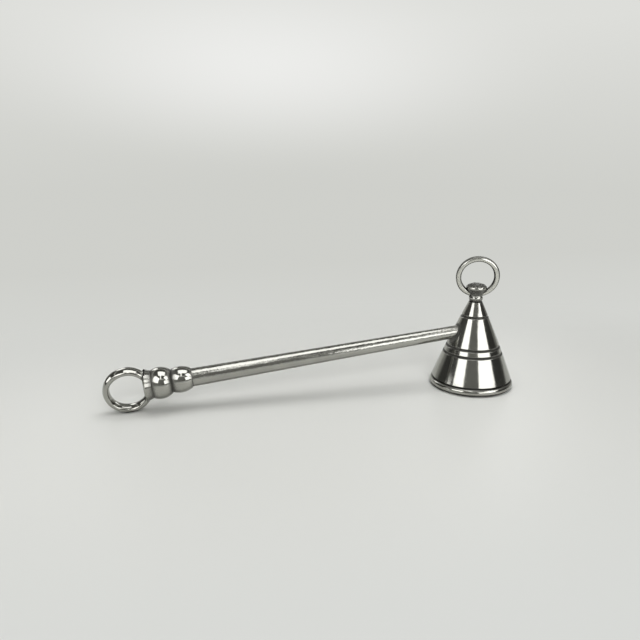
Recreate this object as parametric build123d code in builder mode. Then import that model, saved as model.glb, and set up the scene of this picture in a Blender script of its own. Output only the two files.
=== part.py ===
"""A pewter candle snuffer: a turned bell with a swinging ring on its finial, on a long tapered handle.

The origin is the centre of the bell's mouth, on the surface that the snuffer rests on. +Z runs up the
bell's axis and the handle leaves the bell towards -X. Lengths are in millimetres, angles in degrees.
"""

import os
from math import atan, cos, degrees, hypot, radians, sin, sqrt

from build123d import *

os.makedirs("parts", exist_ok=True)

# Bell: a thin cone, slightly bulged, with a rounded rim at its mouth
rim_diameter = 30.0
rim_height = 2.75
rim_edge_inset = 1.3
rim_wall = 1.8
rim_land = 2.5
rim_groove_depth = 0.45
rim_groove_width = 0.6
cone_foot_inset = 0.7
bell_height = 31.4
bell_top_diameter = 4.9
bell_bulge = 0.35
bell_wall = 1.35
crown_thickness = 2.4
cone_groove_radius = 0.42
cone_groove_lip = 0.16
cone_groove_shares = (0.414, 0.490, 0.838)

# Finial: a small turned knob on the bell's top, with a cross hole for the ring
spigot_diameter = 2.4
spigot_end = 0.5
neck_diameter = 4.3
neck_height = 0.45
bead_diameter = 4.95
bead_height = 1.75
flare_height = 2.35
flare_hollow = 0.3
knob_diameter = 7.2
knob_band_height = 1.0
knob_shoulder_height = 0.5
knob_shoulder_inset = 0.55
knob_crown_height = 1.3
eye_height = 3.0

# Top ring: round wire that swings in the finial's eye
top_ring_diameter = 13.4
top_ring_wire = 1.95
top_ring_turn = -19.0
top_ring_lean = 10.0

# Handle rod: round, tapered, pinned into the bell at one end and the terminal at the other
handle_tilt = 5.85
handle_reach = 102.4
rod_root_diameter = 4.6
rod_end_diameter = 6.25
root_tenon_diameter = 3.2
root_tenon_proud = 0.9
end_tenon_diameter = 4.0
end_tenon_length = 7.0
root_straight = 4.0
solder_radius = 1.0

# Handle terminal: two beads and a flared collar with a flat end
terminal_face_diameter = 6.7
first_bead_length = 6.55
first_bead_diameter = 8.9
first_groove_diameter = 7.7
second_bead_length = 6.45
second_bead_diameter = 10.7
second_groove_diameter = 9.3
collar_length = 2.65
collar_diameter = 10.9
collar_flare = 0.56
collar_bevel = 0.6

# End ring: an oval wire ring, let into a slot across the collar's end and soldered
end_ring_diameter = 14.0
end_ring_thickness = 2.3
end_ring_width = 4.2
end_ring_roll = 10.5
end_ring_drop = 0.6
end_ring_let_in = 2.85
slot_depth = 1.0

# Fits: solder joints are nearly closed, the ring runs loose in its eye, and cuts run past their faces
solder_gap = 0.04
swing_clearance = 0.12
eye_play = 0.4
overrun = 2.0

# Shares of a profile's own sizes
bead_peak_share = 0.5
second_bead_peak_share = 0.48
collar_flare_share = 0.25
oval_corner_width_share = 0.81
oval_corner_thickness_share = 0.6

# Bell outline, worked out from its sizes
rim_radius = rim_diameter / 2
mouth_radius = rim_radius - rim_wall
cone_foot_radius = rim_radius - cone_foot_inset
cone_foot_height = rim_height + rim_groove_width
cone_rise = bell_height - cone_foot_height
top_radius = bell_top_diameter / 2
cone_slope = (cone_foot_radius - top_radius) / cone_rise
cone_angle = degrees(atan(cone_slope))
crown_height = bell_height - crown_thickness
crown_radius = top_radius + crown_thickness * cone_slope - bell_wall / cos(radians(cone_angle))


def outer_radius(height):
    """Radius of the bell's outside at a height above the mouth, with its bulge."""
    share = (height - cone_foot_height) / cone_rise
    straight = cone_foot_radius - cone_slope * (height - cone_foot_height)
    return straight + 4 * bell_bulge * share * (1 - share)


def inner_radius(height):
    """Radius of the bell's inside at a height above the mouth."""
    share = (height - rim_land) / (crown_height - rim_land)
    return mouth_radius + (crown_radius - mouth_radius) * share


cone_foot = (cone_foot_radius, cone_foot_height)
cone_middle_height = cone_foot_height + cone_rise / 2
cone_middle = (outer_radius(cone_middle_height), cone_middle_height)
cone_top = (top_radius, bell_height)

# Handle frame: stations run along the rod from the bell's axis, and the end ring touches the floor
tilt = radians(handle_tilt)
roll = radians(end_ring_roll)
end_ring_radius = end_ring_diameter / 2
terminal_length = first_bead_length + second_bead_length + collar_length
terminal_end = handle_reach + terminal_length
end_ring_station = terminal_end + end_ring_radius + end_ring_thickness / 2 - end_ring_let_in
lean_sine = cos(tilt) * sin(roll)
lean_cosine = sqrt(1 - lean_sine**2)
wire_reach = hypot(end_ring_thickness / 2 * lean_cosine, end_ring_width / 2 * lean_sine)
end_ring_height = end_ring_radius * lean_cosine + wire_reach
handle_height = (
    end_ring_height + end_ring_station * sin(tilt) + end_ring_drop * cos(tilt) * cos(roll)
)
handle_origin = Vector(0, 0, handle_height)
handle_direction = Vector(-cos(tilt), 0, -sin(tilt))
handle_up = Vector(-sin(tilt), 0, cos(tilt))
handle_axis = Axis(handle_origin, handle_direction)
handle_side = Plane(origin=handle_origin, x_dir=handle_direction, z_dir=(0, 1, 0))

# Where the rod enters the bell
root_height = handle_height - outer_radius(handle_height) * sin(tilt)
root_station = outer_radius(root_height)
root_point = handle_origin + handle_direction * root_station
root_tenon_start = inner_radius(root_height) - root_tenon_proud
tenon_plane = Plane(origin=handle_origin, x_dir=(0, 1, 0), z_dir=handle_direction)

# End ring frame: rolled about the handle, so its upper side leans towards -Y
end_ring_up = handle_up * cos(roll) + Vector(0, -1, 0) * sin(roll)
end_ring_centre = handle_origin + handle_direction * end_ring_station - end_ring_up * end_ring_drop
end_ring_section = Plane(origin=end_ring_centre, x_dir=handle_direction, z_dir=end_ring_up)
end_ring_axis = Axis(end_ring_centre, end_ring_section.y_dir)
slot_floor = handle_origin + handle_direction * (terminal_end - slot_depth)

# Top ring frame: the eye's axis is level, and the ring leans a little from upright
top_ring_radius = top_ring_diameter / 2
wire_radius = top_ring_wire / 2
eye_radius = wire_radius + eye_play
eye_centre = Vector(0, 0, bell_height + eye_height)
turn = radians(top_ring_turn)
lean = radians(top_ring_lean)
eye_direction = Vector(cos(turn), sin(turn), 0)
eye_across = Vector(-sin(turn), cos(turn), 0)
eye_axis = Axis(eye_centre, eye_direction)
eye_side = Plane(origin=eye_centre, x_dir=eye_direction, z_dir=-eye_across)
top_ring_up = Vector(0, 0, 1) * cos(lean) - eye_across * sin(lean)
top_ring_rise = top_ring_radius + wire_radius + swing_clearance - eye_radius
top_ring_centre = eye_centre + top_ring_up * top_ring_rise
top_ring_section = Plane(origin=top_ring_centre, x_dir=eye_direction, z_dir=top_ring_up)
top_ring_axis = Axis(top_ring_centre, top_ring_section.y_dir)

# Bell
with BuildPart() as bell:
    with BuildSketch(Plane.XZ):
        with BuildLine():
            rim_foot = (rim_radius - rim_edge_inset, 0)
            rim_groove = (cone_foot_radius - rim_groove_depth, rim_height)
            Line((mouth_radius, 0), rim_foot)
            ThreePointArc(rim_foot, (rim_radius, rim_height / 2), rim_groove)
            Line(rim_groove, cone_foot)
            ThreePointArc(cone_foot, cone_middle, cone_top)
            Polyline(cone_top, (0, bell_height), (0, crown_height), (crown_radius, crown_height))
            Polyline((crown_radius, crown_height), (mouth_radius, rim_land), (mouth_radius, 0))
        make_face()
    revolve(axis=Axis.Z)
    # Turned lines round the cone
    with BuildSketch(Plane.XZ):
        for share in cone_groove_shares:
            with Locations((outer_radius(share * bell_height), share * bell_height)):
                Circle(cone_groove_radius)
    revolve(axis=Axis.Z, mode=Mode.SUBTRACT)
    groove_edges = bell.edges(Select.LAST).filter_by(lambda edge: edge.is_closed)
    fillet(groove_edges, radius=cone_groove_lip)
    # Holes for the finial's spigot and the rod's tenon
    with BuildSketch(Plane.XY.offset(crown_height - overrun)):
        Circle(spigot_diameter / 2 + solder_gap)
    extrude(amount=crown_thickness + 2 * overrun, mode=Mode.SUBTRACT)
    with BuildSketch(tenon_plane):
        Circle(root_tenon_diameter / 2 + solder_gap)
    extrude(amount=root_station + overrun, mode=Mode.SUBTRACT)
bell.part.label = "bell"
export_step(bell.part, "parts/bell.step")

# The bell's outside, filled and grown by the solder gap, to shape what is soldered against it
with BuildPart() as bell_envelope:
    with BuildSketch(Plane.XZ):
        with BuildLine():
            envelope_foot = (cone_foot_radius + solder_gap, cone_foot_height)
            envelope_middle = (cone_middle[0] + solder_gap, cone_middle_height)
            envelope_top = (top_radius + solder_gap, bell_height)
            ThreePointArc(envelope_foot, envelope_middle, envelope_top)
            Polyline(envelope_top, (0, bell_height), (0, cone_foot_height), envelope_foot)
        make_face()
    revolve(axis=Axis.Z)

# The mouths of the eye follow the ring's inside, so that it can swing round
knob_radius = knob_diameter / 2
with BuildPart() as eye_mouths:
    with BuildSketch(eye_side):
        relief_radius = top_ring_radius - wire_radius - swing_clearance
        relief_reach = knob_radius + swing_clearance
        relief_depth = top_ring_rise - sqrt(relief_radius**2 - relief_reach**2)
        Rectangle(2 * relief_reach, relief_depth, align=(Align.CENTER, Align.MIN))
        with Locations((0, top_ring_rise)):
            Circle(relief_radius, mode=Mode.SUBTRACT)
    revolve(axis=eye_axis)

# Finial, with a straight cross hole for its eye
with BuildPart() as finial:
    with BuildSketch(Plane.XZ):
        with BuildLine():
            bead_foot = bell_height + neck_height
            flare_foot = bead_foot + bead_height
            band_foot = flare_foot + flare_height
            band_top = band_foot + knob_band_height
            finial_top = band_top + knob_crown_height
            neck_radius = neck_diameter / 2
            spigot_foot = crown_height - spigot_end
            flare_middle_radius = (neck_radius + knob_radius) / 2 - flare_hollow
            shoulder_height = band_top + knob_shoulder_height
            shoulder_radius = knob_radius - knob_shoulder_inset
            cap_height = finial_top - shoulder_height
            cap_radius = (shoulder_radius**2 + cap_height**2) / (2 * cap_height)
            cap_middle_radius = shoulder_radius / 2
            cap_middle_height = finial_top - cap_radius + sqrt(cap_radius**2 - cap_middle_radius**2)
            Polyline(
                (0, finial_top),
                (0, spigot_foot),
                (spigot_diameter / 2, spigot_foot),
                (spigot_diameter / 2, bell_height),
                (neck_radius, bell_height),
                (neck_radius, bead_foot),
            )
            ThreePointArc(
                (neck_radius, bead_foot),
                (bead_diameter / 2, bead_foot + bead_height * bead_peak_share),
                (neck_radius, flare_foot),
            )
            ThreePointArc(
                (neck_radius, flare_foot),
                (flare_middle_radius, flare_foot + flare_height / 2),
                (knob_radius, band_foot),
            )
            Polyline((knob_radius, band_foot), (knob_radius, band_top), (shoulder_radius, shoulder_height))
            ThreePointArc(
                (shoulder_radius, shoulder_height),
                (cap_middle_radius, cap_middle_height),
                (0, finial_top),
            )
        make_face()
    revolve(axis=Axis.Z)
    with BuildSketch(Plane(origin=eye_centre - eye_direction * knob_diameter, z_dir=eye_direction)):
        Circle(eye_radius)
    extrude(amount=2 * knob_diameter, mode=Mode.SUBTRACT)
    add(eye_mouths.part, mode=Mode.SUBTRACT)
finial.part.label = "finial"
export_step(finial.part, "parts/finial.step")

# Top ring
with BuildPart() as top_ring:
    with BuildSketch(top_ring_section):
        with Locations((top_ring_radius, 0)):
            Circle(wire_radius)
    revolve(axis=top_ring_axis)
top_ring.part.label = "top_ring"
export_step(top_ring.part, "parts/top_ring.step")

# Handle rod, coped to the bell's outside
with BuildPart() as handle_rod:
    with BuildSketch(handle_side):
        with BuildLine():
            Polyline(
                (0, 0),
                (0, rod_root_diameter / 2),
                (root_station + root_straight, rod_root_diameter / 2),
                (handle_reach, rod_end_diameter / 2),
                (handle_reach, end_tenon_diameter / 2),
                (handle_reach + end_tenon_length, end_tenon_diameter / 2),
                (handle_reach + end_tenon_length, 0),
                close=True,
            )
        make_face()
    revolve(axis=handle_axis)
    add(bell_envelope.part, mode=Mode.SUBTRACT)
    with BuildSketch(tenon_plane.offset(root_tenon_start)):
        Circle(root_tenon_diameter / 2)
    extrude(amount=root_station + overrun - root_tenon_start)
handle_rod.part.label = "handle_rod"
export_step(handle_rod.part, "parts/handle_rod.step")

# Solder round the rod's root: what a rolling fillet between the bell and the rod adds to both
with BuildPart() as solder_fillet:
    add(bell_envelope.part)
    with BuildSketch(tenon_plane):
        Circle(rod_root_diameter / 2 + solder_gap)
    extrude(amount=root_station + root_straight)
    fillet(solder_fillet.edges().sort_by_distance(root_point)[0], radius=solder_radius)
    add(bell_envelope.part, mode=Mode.SUBTRACT)
    with BuildSketch(tenon_plane):
        Circle(rod_root_diameter / 2 + solder_gap)
    extrude(amount=root_station + root_straight, mode=Mode.SUBTRACT)
solder_fillet.part.label = "solder_fillet"
export_step(solder_fillet.part, "parts/solder_fillet.step")

# Handle terminal
with BuildPart() as handle_terminal:
    with BuildSketch(handle_side):
        with BuildLine():
            first_end = handle_reach + first_bead_length
            second_end = first_end + second_bead_length
            face = (handle_reach, terminal_face_diameter / 2)
            first_groove = (first_end, first_groove_diameter / 2)
            second_groove = (second_end, second_groove_diameter / 2)
            first_peak = (handle_reach + first_bead_length * bead_peak_share, first_bead_diameter / 2)
            second_peak = (first_end + second_bead_length * second_bead_peak_share, second_bead_diameter / 2)
            collar_radius = collar_diameter / 2
            collar_foot = (second_end + collar_length * collar_flare_share, collar_radius - collar_flare)
            collar_edge = (terminal_end - collar_bevel, collar_radius)
            bore_radius = end_tenon_diameter / 2 + solder_gap
            bore_end = handle_reach + end_tenon_length + solder_gap
            ThreePointArc(face, first_peak, first_groove)
            ThreePointArc(first_groove, second_peak, second_groove)
            Polyline(
                second_groove,
                collar_foot,
                collar_edge,
                (terminal_end, collar_radius - collar_bevel),
                (terminal_end, 0),
                (bore_end, 0),
                (bore_end, bore_radius),
                (handle_reach, bore_radius),
                face,
            )
        make_face()
    revolve(axis=handle_axis)
    # Slot across the end for the ring
    with BuildSketch(Plane(origin=slot_floor, x_dir=end_ring_section.y_dir, z_dir=handle_direction)):
        Rectangle(end_ring_width + 2 * solder_gap, 2 * collar_diameter)
    extrude(amount=slot_depth + overrun, mode=Mode.SUBTRACT)
handle_terminal.part.label = "handle_terminal"
export_step(handle_terminal.part, "parts/handle_terminal.step")

# End ring: an oval section of four arcs, filed flat where the ring sits on the slot's floor
with BuildPart() as end_ring:
    with BuildSketch(end_ring_section):
        half_thickness = end_ring_thickness / 2
        half_width = end_ring_width / 2
        near = end_ring_radius - half_thickness * oval_corner_thickness_share
        far = end_ring_radius + half_thickness * oval_corner_thickness_share
        side = half_width * oval_corner_width_share
        with BuildLine():
            ThreePointArc((near, side), (end_ring_radius, half_width), (far, side))
            ThreePointArc((far, side), (end_ring_radius + half_thickness, 0), (far, -side))
            ThreePointArc((far, -side), (end_ring_radius, -half_width), (near, -side))
            ThreePointArc((near, -side), (end_ring_radius - half_thickness, 0), (near, side))
        make_face()
    revolve(axis=end_ring_axis)
    seat = slot_floor + handle_direction * solder_gap
    with BuildSketch(Plane(origin=seat, x_dir=(0, 1, 0), z_dir=-handle_direction)):
        Rectangle(2 * end_ring_diameter, 2 * end_ring_diameter)
    extrude(amount=end_ring_let_in + overrun, mode=Mode.SUBTRACT)
end_ring.part.label = "end_ring"
export_step(end_ring.part, "parts/end_ring.step")
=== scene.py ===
"""Looks of the candle snuffer: polished pewter on a pale sweep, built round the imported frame.

Lengths are in metres, in the part's own frame: the bell stands on the origin, +Z is up and the handle
runs towards -X. Azimuths are degrees round Z from -Y, positive towards +X. A noise is its scale per
metre and its detail. A spread is the range that a value is read from, then the range that it becomes.
"""

import math

import bmesh
import bpy
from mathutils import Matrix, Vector, noise as unevenness


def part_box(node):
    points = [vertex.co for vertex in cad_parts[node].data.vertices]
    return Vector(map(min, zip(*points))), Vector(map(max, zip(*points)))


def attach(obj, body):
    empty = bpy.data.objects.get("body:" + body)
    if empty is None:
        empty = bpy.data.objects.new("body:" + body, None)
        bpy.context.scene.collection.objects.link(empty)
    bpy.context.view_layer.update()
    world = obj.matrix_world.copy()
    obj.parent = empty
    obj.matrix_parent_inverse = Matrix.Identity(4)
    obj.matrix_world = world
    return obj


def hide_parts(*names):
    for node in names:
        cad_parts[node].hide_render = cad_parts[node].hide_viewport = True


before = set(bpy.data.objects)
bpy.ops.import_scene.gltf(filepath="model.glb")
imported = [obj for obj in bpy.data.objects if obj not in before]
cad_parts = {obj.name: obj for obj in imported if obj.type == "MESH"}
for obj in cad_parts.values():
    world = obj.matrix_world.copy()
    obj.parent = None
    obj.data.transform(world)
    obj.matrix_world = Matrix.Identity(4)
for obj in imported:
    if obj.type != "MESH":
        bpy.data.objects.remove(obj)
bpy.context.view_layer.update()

# Camera: a square frame, and where the camera stands
image_width = 640
focal_pixels = 641
sensor_width = 36.0
camera_place = Vector((-0.1050, -0.2066, 0.0874))
camera_heading = Vector((0.2233, 0.9748, 0.0))
camera_pitch = math.radians(15.65)
camera_near = 0.01

# Sweep: a flat floor that curves up into a round wall
floor_radius = 1.0
sweep_radius = 0.5
wall_height = 1.6
sweep_steps = 24
sweep_sides = 128

# Paper: lit by the lamps near the part, and of a set tone further off, with painted light in that tone:
# the floor painted darker towards the back, the wall painted paler and a painted glow on the wall
paper_colour = (0.800, 0.806, 0.778)
paper_roughness = 0.40
paper_gloss = 0.25
fade_centre = (-0.055, -0.005)
fade_radii = (0.105, 0.055)
fade_start = 0.7
fade_end = 2.4
near_floor_colour = (0.690, 0.702, 0.680)
far_floor_colour = (0.622, 0.628, 0.597)
far_wall_colour = (0.725, 0.730, 0.702)
wall_fade_height = 0.36
near_depth = -0.15
far_depth = 0.25
painted_glow_colour = (0.838, 0.840, 0.822)
painted_glow_centre = (0.14, 1.46, 0.27)
painted_glow_radii = (0.76, 1.0, 0.27)

# Cards round the set that the metal mirrors: (azimuth, grey), with the camera at about -27 degrees
card_radius = 0.95
card_middle = 0.33
card_top = 0.8
card_sides = 96
card_blue_share = 0.94
low_greys = (
    (-152.0, 0.36), (-140.0, 0.30), (-130.0, 0.06), (-84.0, 0.06), (-48.0, 0.23),
    (-4.0, 0.23), (44.0, 0.06), (90.0, 0.06), (98.0, 0.24), (152.0, 0.36),
)
high_greys = (
    (-180.0, 0.08), (-90.0, 0.10), (-50.0, 0.24), (10.0, 0.24), (50.0, 0.09), (180.0, 0.08),
)
room_colour = (0.12, 0.12, 0.112)

# Clean pewter: slow clouds of shade, waves and streaks of hand polishing, worn edges
pewter_colour = (0.400, 0.398, 0.368)
cloud_noise = (140.0, 4.0)
wave_noise = (170.0, 2.0)
streak_detail = 3.0
shade_from_cloud = (0.30, 0.70)
shade_range = (0.92, 1.04)
roughness_from_streaks = (0.25, 0.75)
cloud_roughness_spread = (0.35, 0.75, 0.0, 0.05)
edge_reach = 0.0004
edge_samples = 8
wear_spread = (0.45, 0.75, 1.0, 0.0)
wear_lift = (0.05, 0.05, 0.05)

# Dull pewter: tarnished corners with painted shade, painted shade underneath and on rings, the cast
# skin, and soot
tarnish_and_shade_colour = (0.024, 0.023, 0.019)
tarnish_and_shade_roughness = 0.42
corner_samples = 16
most_corner_tarnish_and_shade = 0.97
most_under_shade = 0.75
tarnish_and_shade_cloud_spread = (0.25, 0.60, 0.85, 1.0)
patina_from_cloud = (0.35, 0.65)
# A ring's painted shade, by how far its normals face out from the ring's centre
ring_inside_shade_spread = (-0.60, -0.25, 1.0, 0.0)
ring_outside_shade_spread = (0.55, 0.80, 0.0, 1.0)
ring_shade_cloud_spread = (0.42, 0.56, 0.70, 1.0)
grain_noise = (1500.0, 5.0)
cast_edge_spread = (0.30, 0.70, -2e-4, 2e-4)
cast_blur = 1e-4
cast_tarnish_spread = (0.35, 0.65, 0.95, 0.60)
cast_depth = 1.5e-4
soot_colour = (0.030, 0.029, 0.027)
soot_roughness = 0.75
soot_spread = (-5e-4, 0.0, 1.0, 0.0)
soot_cloud_spread = (0.30, 0.60, 0.75, 1.0)
metallic_spread = (0.0, 1.0, 1.0, 0.15)
specular_spread = (0.0, 1.0, 0.5, 0.15)

# Pieces: the handle's slope, the finial's cap that is left as cast, and the hand-worked surfaces
handle_slope = math.radians(5.85)
cap_height = 0.0011
cap_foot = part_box("finial")[1].z - cap_height
weld_distance = 1e-7
cap_cuts = 3
below_cap_share = 0.15
sharp_angle = math.radians(35.0)


def new_object(name, data):
    """An object of that data, in the scene."""
    thing = bpy.data.objects.new(name, data)
    bpy.context.scene.collection.objects.link(thing)
    return thing


def point(thing, place, heading):
    """Stand a lamp or a camera at a place, looking along the heading."""
    thing.location = place
    thing.rotation_mode = "QUATERNION"
    thing.rotation_quaternion = heading.to_track_quat("-Z", "Y")


def new_material(name):
    """A node material, its tree and its Principled shader."""
    material = bpy.data.materials.new(name)
    material.use_nodes = True
    tree = material.node_tree
    return material, tree, tree.nodes["Principled BSDF"]


def feed(tree, value, target):
    """Link an input to another node's output, or set it to a constant."""
    if isinstance(value, bpy.types.NodeSocket):
        tree.links.new(value, target)
    else:
        target.default_value = value


def add(tree, kind, inputs=None, **settings):
    """A node with its settings, and what its inputs are fed."""
    node = tree.nodes.new(kind)
    for key, value in settings.items():
        setattr(node, key, value)
    for key, value in (inputs or {}).items():
        feed(tree, value, node.inputs[key])
    return node


def ranged(tree, source, from_low, from_high, to_low=0.0, to_high=1.0, curve="LINEAR"):
    """The source's values spread from one range to another, clamped."""
    ends = {"From Min": from_low, "From Max": from_high, "To Min": to_low, "To Max": to_high}
    node = add(tree, "ShaderNodeMapRange", {"Value": source, **ends}, interpolation_type=curve)
    return node.outputs["Result"]


def noise(tree, place, scale, detail, stretch=(1.0, 1.0, 1.0), turn=0.0):
    """Noise at a scale per metre, stretched along axes that are turned about Y."""
    spread = {"Vector": place, "Scale": stretch, "Rotation": (0.0, turn, 0.0)}
    spread_place = add(tree, "ShaderNodeMapping", spread).outputs["Vector"]
    node = add(tree, "ShaderNodeTexNoise", {"Vector": spread_place, "Scale": scale, "Detail": detail})
    return node.outputs["Fac"]


def math_node(tree, operation, first, second):
    """A maths operation on two values, each a socket or a number."""
    return add(tree, "ShaderNodeMath", {0: first, 1: second}, operation=operation).outputs["Value"]


def vector_node(tree, operation, *vectors):
    """A maths operation on vectors, each a socket or a constant, with a vector as its result."""
    node = add(tree, "ShaderNodeVectorMath", dict(enumerate(vectors)), operation=operation)
    return node.outputs["Vector"]


def measure_node(tree, operation, *vectors):
    """A maths operation on vectors, each a socket or a constant, with a number as its result."""
    node = add(tree, "ShaderNodeVectorMath", dict(enumerate(vectors)), operation=operation)
    return node.outputs["Value"]


def split(tree, vector):
    """The X, Y and Z of a vector, by name."""
    return add(tree, "ShaderNodeSeparateXYZ", {"Vector": vector}).outputs


def mixed_colour(tree, factor, first, second):
    """Two colours, each a socket or a tuple, mixed by a factor."""
    node = add(tree, "ShaderNodeMix", {"Factor": factor}, data_type="RGBA")
    ends = [socket for socket in node.inputs if socket.type == "RGBA"]
    for socket, colour in zip(ends, (first, second)):
        feed(tree, (*colour, 1.0) if isinstance(colour, tuple) else colour, socket)
    return next(socket for socket in node.outputs if socket.type == "RGBA")


def mixed_value(tree, factor, first, second):
    """Two values mixed by a factor: first + factor * (second - first)."""
    span = math_node(tree, "SUBTRACT", second, first)
    return math_node(tree, "ADD", first, math_node(tree, "MULTIPLY", factor, span))


def bumped(tree, height, distance, under=None):
    """A bump of that height in metres, over another bump."""
    node = add(tree, "ShaderNodeBump", {"Height": height, "Strength": 1.0, "Distance": distance})
    if under is not None:
        feed(tree, under, node.inputs["Normal"])
    return node.outputs["Normal"]


def corner_tarnish_and_shade(tree, cloud, reach, corner_range):
    """Tarnish and painted shade where the metal is hemmed in within the reach, patchy with the cloud."""
    corner = add(tree, "ShaderNodeAmbientOcclusion", {"Distance": reach}, samples=corner_samples)
    tarnish_and_shade = ranged(tree, corner.outputs["AO"], *corner_range, most_corner_tarnish_and_shade, 0.0)
    return math_node(tree, "MULTIPLY", tarnish_and_shade, ranged(tree, cloud, *tarnish_and_shade_cloud_spread))


def painted_ring_shade(tree, place, facing, cloud, centre):
    """Painted shade on a ring's inner face and along its outer edge, a painted reflection of the dim
    room, patchy with the cloud.
    """
    outward = vector_node(tree, "NORMALIZE", vector_node(tree, "SUBTRACT", place, centre))
    facing_out = measure_node(tree, "DOT_PRODUCT", outward, facing)
    inside = ranged(tree, facing_out, *ring_inside_shade_spread)
    outside = ranged(tree, facing_out, *ring_outside_shade_spread)
    both = math_node(tree, "MAXIMUM", inside, outside)
    return math_node(tree, "MULTIPLY", both, ranged(tree, cloud, *ring_shade_cloud_spread))


def cast_share(tree, place, grain, cast_from):
    """1 above the height where the metal is left as cast, with an edge that the grain makes ragged."""
    ragged = ranged(tree, grain, *cast_edge_spread)
    height = math_node(tree, "ADD", split(tree, place)["Z"], ragged)
    return ranged(tree, height, cast_from - cast_blur, cast_from + cast_blur)


def soot_share(tree, place, facing, cloud):
    """Soot on faces that look towards the Z axis, patchy with the cloud."""
    outward = vector_node(tree, "MULTIPLY", place, (1.0, 1.0, 0.0))
    soot = ranged(tree, measure_node(tree, "DOT_PRODUCT", outward, facing), *soot_spread)
    return math_node(tree, "MULTIPLY", soot, ranged(tree, cloud, *soot_cloud_spread))


def clean_colour(tree, cloud, brightness):
    """The colour of clean metal: shaded by the cloud and brighter at worn edges, scaled by brightness,
    which above 1 paints light onto a brighter copy.
    """
    shades = (share * brightness for share in shade_range)
    shade = ranged(tree, cloud, *shade_from_cloud, *shades)
    tint = add(tree, "ShaderNodeVectorMath", {0: pewter_colour, "Scale": shade}, operation="SCALE")
    edge = add(tree, "ShaderNodeAmbientOcclusion", {"Distance": edge_reach}, samples=edge_samples,
               inside=True)
    worn = ranged(tree, edge.outputs["AO"], *wear_spread)
    return vector_node(tree, "MULTIPLY_ADD", worn, wear_lift, tint.outputs["Vector"])


def pewter(name, polish, streak_stretch=(1.0, 1.0, 1.0), streak_turn=0.0, streak_scale=900.0,
           streak_depth=4e-6, wave_depth=1.2e-5, corner_reach=0.0012, corner_range=(0.66, 0.90),
           patina=(0.0, 0.0), brightness=1.0, ring_centre=None, cast_from=None, under_range=None,
           sooty=False):
    """Polished pewter: streaks and waves of hand polishing, tarnished corners with painted shade,
    brighter worn edges.

    Polish is the range of roughness, and patina the range of the share tarnished all over. A ring gets
    painted shade on its inner face and along its outer edge, a painted reflection of the dim room. Above
    the height cast_from the metal is left as cast, rough and dark. Painted shade makes it darker where
    it faces down, by the heights of its normals in under_range. Brightness above 1 paints light onto a
    brighter copy of the metal. Sooty metal is black from candle smoke where it faces the Z axis.
    """
    material, tree, shader = new_material(name)
    coordinates = add(tree, "ShaderNodeTexCoord").outputs
    place = coordinates["Object"]
    facing = coordinates["Normal"]
    cloud = noise(tree, place, *cloud_noise)
    streaks = noise(tree, place, streak_scale, streak_detail, streak_stretch, streak_turn)
    normal = bumped(tree, noise(tree, place, *wave_noise), wave_depth)
    normal = bumped(tree, streaks, streak_depth, normal)
    rough = ranged(tree, streaks, *roughness_from_streaks, *polish)
    rough = math_node(tree, "ADD", rough, ranged(tree, cloud, *cloud_roughness_spread))

    # Tarnished hollows, with painted shade where other parts hem the metal in
    tarnish_and_shade = corner_tarnish_and_shade(tree, cloud, corner_reach, corner_range)
    tarnish_and_shade = math_node(tree, "MAXIMUM", tarnish_and_shade, ranged(tree, cloud, *patina_from_cloud, *patina))
    # Painted shade on a ring's inner face and outer edge, a painted reflection of the dim room
    if ring_centre is not None:
        ring_shade = painted_ring_shade(tree, place, facing, cloud, ring_centre)
        tarnish_and_shade = math_node(tree, "MAXIMUM", tarnish_and_shade, ring_shade)
    if cast_from is not None:
        grain = noise(tree, place, *grain_noise)
        cast = cast_share(tree, place, grain, cast_from)
        dark = math_node(tree, "MULTIPLY", cast, ranged(tree, grain, *cast_tarnish_spread))
        tarnish_and_shade = math_node(tree, "MAXIMUM", tarnish_and_shade, dark)
        normal = bumped(tree, math_node(tree, "MULTIPLY", grain, cast), cast_depth, normal)
    if under_range is not None:
        # Painted shade: the metal is painted darker where it faces down
        under = ranged(tree, split(tree, facing)["Z"], *under_range, most_under_shade, 0.0)
        tarnish_and_shade = math_node(tree, "MAXIMUM", tarnish_and_shade, under)
    rough = mixed_value(tree, tarnish_and_shade, rough, tarnish_and_shade_roughness)
    colour = mixed_colour(tree, tarnish_and_shade, clean_colour(tree, cloud, brightness), tarnish_and_shade_colour)

    dull = tarnish_and_shade
    if sooty:
        soot = soot_share(tree, place, facing, cloud)
        colour = mixed_colour(tree, soot, colour, soot_colour)
        rough = mixed_value(tree, soot, rough, soot_roughness)
        dull = math_node(tree, "MAXIMUM", dull, soot)
    feed(tree, ranged(tree, dull, *metallic_spread), shader.inputs["Metallic"])
    feed(tree, ranged(tree, dull, *specular_spread), shader.inputs["Specular IOR Level"])
    feed(tree, rough, shader.inputs["Roughness"])
    feed(tree, colour, shader.inputs["Base Color"])
    feed(tree, normal, shader.inputs["Normal"])
    return material


def finish_node(node, material):
    """Give a CAD node that keeps its shape its finish."""
    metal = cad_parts[node].data.materials
    metal.clear()
    metal.append(material)


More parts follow.
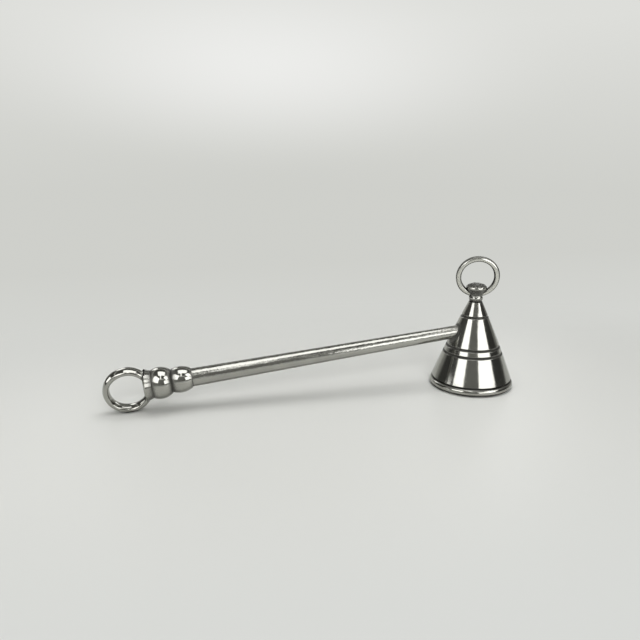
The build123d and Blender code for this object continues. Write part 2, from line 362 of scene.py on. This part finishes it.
def worked(node, body, material, depth, length, cut_above=None):
    """A piece that stands for a CAD node, with the small unevenness of hand work in its surface.

    Depth and length are the height and the spacing of the unevenness. Where cut_above is given, faces
    above that height are divided finely first, and only a share of the unevenness is left below it.
    """
    work = bmesh.new()
    work.from_mesh(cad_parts[node].data)
    bmesh.ops.remove_doubles(work, verts=work.verts, dist=weld_distance)
    if cut_above is not None:
        edges = [edge for edge in work.edges if all(end.co.z > cut_above for end in edge.verts)]
        bmesh.ops.subdivide_edges(work, edges=edges, cuts=cap_cuts, use_grid_fill=True)
        bmesh.ops.triangulate(work, faces=[face for face in work.faces if len(face.verts) > 4])
    work.normal_update()
    moves = []
    for vertex in work.verts:
        share = 1.0 if cut_above is None or vertex.co.z > cut_above else below_cap_share
        moves.append(vertex.normal * (depth * share * unevenness.noise(vertex.co / length)))
    for vertex, move in zip(work.verts, moves):
        vertex.co += move
    mesh = bpy.data.meshes.new(node + "_worked")
    work.to_mesh(mesh)
    work.free()
    mesh.polygons.foreach_set("use_smooth", [True] * len(mesh.polygons))
    mesh.set_sharp_from_angle(angle=sharp_angle)
    mesh.materials.append(material)
    piece = new_object(node + "_worked", mesh)
    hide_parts(node)
    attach(piece, body)


def make_plain_pieces():
    """The bell, the terminal, the rod and the solder keep their CAD shape."""
    finish_node("bell", pewter(
        "turned_pewter", polish=(0.07, 0.14), streak_stretch=(1.0, 1.0, 6.0), wave_depth=3.5e-5,
        corner_range=(0.80, 0.98), sooty=True))
    # The terminal's wide corner reach also paints shade between the beads, besides tarnishing them
    finish_node("handle_terminal", pewter(
        "beaded_pewter", polish=(0.05, 0.11), streak_stretch=(6.0, 1.0, 1.0), streak_turn=handle_slope,
        wave_depth=2e-5, corner_reach=0.0040, corner_range=(0.88, 0.995)))
    # The rod's underside is painted darker: painted shade along its lower edge
    finish_node("handle_rod", pewter(
        "drawn_pewter", polish=(0.08, 0.18), streak_stretch=(0.38, 1.0, 1.0), streak_turn=handle_slope,
        streak_scale=2200.0, streak_depth=4.5e-5, wave_depth=3e-5, corner_reach=0.002,
        corner_range=(0.74, 0.97), under_range=(-0.85, -0.50)))
    finish_node("solder_fillet", pewter(
        "solder", polish=(0.10, 0.20), streak_depth=1e-5, wave_depth=3e-5, patina=(0.70, 0.95)))


def make_worked_pieces():
    """The rings and the finial show the unevenness of hand work."""
    # The top ring's metal is painted 1.6 times brighter, a painted lift of the light it mirrors, and
    # gets painted shade on its inner face and outer edge
    top_wire = pewter(
        "top_ring_pewter", polish=(0.05, 0.11), brightness=1.6,
        ring_centre=sum(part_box("top_ring"), Vector()) / 2)
    worked("top_ring", "ring", top_wire, depth=0.9e-4, length=0.0050)
    end_wire = pewter("end_ring_pewter", polish=(0.05, 0.11))
    worked("end_ring", "snuffer", end_wire, depth=1.0e-4, length=0.0040)
    # The finial's flare is painted darker where it faces down: painted shade
    cast = pewter(
        "cast_pewter", polish=(0.08, 0.16), streak_stretch=(1.0, 1.0, 6.0), cast_from=cap_foot,
        under_range=(-0.30, -0.05))
    worked("finial", "snuffer", cast, depth=1.4e-4, length=0.0007, cut_above=cap_foot)


def lathe(name, profile, sides, start=0.0, turn=360.0):
    """A surface turned round Z from (radius, height) points, with UVs of turn and height shares."""
    points, faces, uvs = [], [], []
    for row, (radius, height) in enumerate(profile):
        for side in range(sides + 1):
            angle = math.radians(start + turn * side / sides)
            points.append((radius * math.sin(angle), -radius * math.cos(angle), height))
            uvs.append((side / sides, row / (len(profile) - 1)))
    for row in range(len(profile) - 1):
        for side in range(sides):
            corner = row * (sides + 1) + side
            faces.append((corner, corner + 1, corner + sides + 2, corner + sides + 1))
    mesh = bpy.data.meshes.new(name)
    mesh.from_pydata(points, [], faces)
    mesh.polygons.foreach_set("use_smooth", [True] * len(faces))
    layer = mesh.uv_layers.new(name="turn")
    for loop in mesh.loops:
        layer.data[loop.index].uv = uvs[loop.vertex_index]
    return new_object(name, mesh)


def seen_rays(tree):
    """1 for rays that show the set: straight to the camera, mirrored or through glass."""
    path = add(tree, "ShaderNodeLightPath").outputs
    seen = math_node(tree, "MAXIMUM", path["Is Camera Ray"], path["Is Glossy Ray"])
    return math_node(tree, "MAXIMUM", seen, path["Is Transmission Ray"])


def paper_fade(tree, parts):
    """0 on the lit paper round the part, rising to 1 further off."""
    flat = add(tree, "ShaderNodeCombineXYZ")
    for axis, centre, radius in zip("XY", fade_centre, fade_radii):
        offset = math_node(tree, "SUBTRACT", parts[axis], centre)
        feed(tree, math_node(tree, "DIVIDE", offset, radius), flat.inputs[axis])
    reach = measure_node(tree, "LENGTH", flat.outputs["Vector"])
    return ranged(tree, reach, fade_start, fade_end, curve="SMOOTHSTEP")


def paper_tone(tree, place, parts):
    """The paper's tone away from the part, with painted light: a floor painted darker towards the back,
    a wall painted paler, and a painted glow of light on the wall.
    """
    # Painted shade: the floor is painted darker towards the back, and the wall paler
    nearness = ranged(tree, parts["Y"], near_depth, far_depth, 1.0, 0.0)
    tone = mixed_colour(tree, nearness, far_floor_colour, near_floor_colour)
    height = ranged(tree, parts["Z"], 0.0, wall_fade_height)
    tone = mixed_colour(tree, height, tone, far_wall_colour)
    # Painted light: a soft glow painted onto the wall
    offset = vector_node(tree, "SUBTRACT", place, painted_glow_centre)
    reach = measure_node(tree, "LENGTH", vector_node(tree, "DIVIDE", offset, painted_glow_radii))
    glow = ranged(tree, reach, 0.0, 1.0, 1.0, 0.0, curve="SMOOTHSTEP")
    return mixed_colour(tree, glow, tone, painted_glow_colour)


def paper():
    """Pale paper, lit by the lamps near the part and of a set tone further off, which has painted light
    in it.
    """
    material, tree, shader = new_material("paper")
    shader.inputs["Base Color"].default_value = (*paper_colour, 1.0)
    shader.inputs["Roughness"].default_value = paper_roughness
    shader.inputs["Specular IOR Level"].default_value = paper_gloss
    place = add(tree, "ShaderNodeTexCoord").outputs["Object"]
    parts = split(tree, place)
    far = add(tree, "ShaderNodeEmission", {"Color": paper_tone(tree, place, parts)})
    share = math_node(tree, "MULTIPLY", paper_fade(tree, parts), seen_rays(tree))
    shaders = {1: shader.outputs["BSDF"], 2: far.outputs["Emission"]}
    mix = add(tree, "ShaderNodeMixShader", {"Fac": share, **shaders})
    feed(tree, mix.outputs["Shader"], tree.nodes["Material Output"].inputs["Surface"])
    return material


def make_sweep():
    """The floor and the wall behind the part."""
    profile = [(0.0, 0.0), (floor_radius, 0.0)]
    for step in range(1, sweep_steps + 1):
        angle = math.pi / 2 * step / sweep_steps
        radius = floor_radius + sweep_radius * math.sin(angle)
        profile.append((radius, sweep_radius * (1 - math.cos(angle))))
    profile.append((floor_radius + sweep_radius, wall_height))
    sweep = lathe("sweep", profile, sweep_sides)
    sweep.data.materials.append(paper())


def make_cards(name, foot, top, greys):
    """Grey cards round the set, out of the picture: polished metal shows them as its dark bands."""
    start = greys[0][0]
    turn = greys[-1][0] - start
    cards = lathe(name, [(card_radius, foot), (card_radius, top)], card_sides, start, turn)
    material, tree, _ = new_material(name)
    along = split(tree, add(tree, "ShaderNodeTexCoord").outputs["UV"])["X"]
    ramp = add(tree, "ShaderNodeValToRGB", {"Fac": along})
    stops = ramp.color_ramp.elements
    for azimuth, _ in greys[1:-1]:
        stops.new((azimuth - start) / turn)
    for stop, (azimuth, grey) in zip(stops, greys):
        stop.position = (azimuth - start) / turn
        stop.color = (grey, grey, grey * card_blue_share, 1.0)
    glow = add(tree, "ShaderNodeEmission", {"Color": ramp.outputs["Color"]})
    feed(tree, glow.outputs["Emission"], tree.nodes["Material Output"].inputs["Surface"])
    cards.data.materials.append(material)
    cards.visible_camera = False
    cards.visible_shadow = False
    cards.visible_diffuse = False


def soft_box(name, place, aim, width, height, radiance):
    """A rectangular lamp of an even brightness that the camera does not see."""
    lamp = bpy.data.lights.new(name, "AREA")
    lamp.shape = "RECTANGLE"
    lamp.size = width
    lamp.size_y = height
    lamp.energy = radiance * width * height * math.pi
    holder = new_object(name, lamp)
    point(holder, place, Vector(aim) - Vector(place))
    holder.visible_camera = False
    return holder


def make_panels():
    """The lamp overhead, and panels that show only in reflections, as the metal's bright stripes."""
    soft_box("lamp_top", place=(-0.035, -0.005, 0.45), aim=(-0.035, -0.0051, 0.0),
             width=0.33, height=0.27, radiance=2.5)
    panels = [
        soft_box("lamp_left", place=(-0.185, -0.098, 0.117), aim=(-0.05, 0.0, 0.05),
                 width=0.125, height=0.115, radiance=2.8),
        soft_box("lamp_right", place=(0.060, -0.157, 0.082), aim=(-0.03, 0.0, 0.05),
                 width=0.155, height=0.095, radiance=2.8),
        soft_box("lamp_stem", place=(-0.09, -0.20, 0.36), aim=(-0.09, 0.0, 0.03),
                 width=0.05, height=0.22, radiance=2.2),
        soft_box("lamp_low", place=(-0.20, 0.0, 0.036), aim=(-0.13, 0.0, 0.012),
                 width=0.06, height=0.03, radiance=2.6),
        soft_box("lamp_back_left", place=(-0.23, 0.35, 0.23), aim=(-0.03, 0.0, 0.03),
                 width=0.12, height=0.16, radiance=2.4),
        soft_box("lamp_back_right", place=(0.19, 0.32, 0.22), aim=(-0.01, 0.0, 0.03),
                 width=0.10, height=0.16, radiance=2.4),
        soft_box("lamp_corner", place=(0.29, -0.243, 0.416), aim=(-0.10, 0.0, 0.03),
                 width=0.26, height=0.28, radiance=2.8),
    ]
    for panel in panels:
        panel.visible_diffuse = False


def make_fills():
    """Two soft lamps that the metal does not mirror, for the paper and the dull places."""
    fills = [
        soft_box("fill_top", place=(-0.06, -0.05, 0.60), aim=(-0.06, -0.0501, 0.0),
                 width=1.0, height=0.9, radiance=0.58),
        soft_box("fill_front", place=(-0.06, -0.80, 0.50), aim=(-0.06, 0.0, 0.0),
                 width=0.5, height=0.3, radiance=6.5),
    ]
    for fill in fills:
        fill.visible_glossy = False


def make_room():
    """The dim room above and beyond the set."""
    world = bpy.data.worlds.new("room")
    world.use_nodes = True
    background = world.node_tree.nodes["Background"]
    background.inputs["Color"].default_value = (*room_colour, 1.0)
    bpy.context.scene.world = world


def make_camera():
    """A camera at the photograph's viewing angle."""
    data = bpy.data.cameras.new("camera")
    data.sensor_width = sensor_width
    data.lens = sensor_width * focal_pixels / image_width
    data.clip_start = camera_near
    camera = new_object("camera", data)
    heading = camera_heading.normalized() * math.cos(camera_pitch)
    heading.z = -math.sin(camera_pitch)
    point(camera, camera_place, heading)
    bpy.context.scene.camera = camera


make_plain_pieces()
make_worked_pieces()
make_sweep()
make_cards("low_cards", 0.0, card_middle, low_greys)
make_cards("high_cards", card_middle, card_top, high_greys)
make_panels()
make_fills()
make_room()
make_camera()
bpy.context.scene.view_settings.view_transform = "Standard"
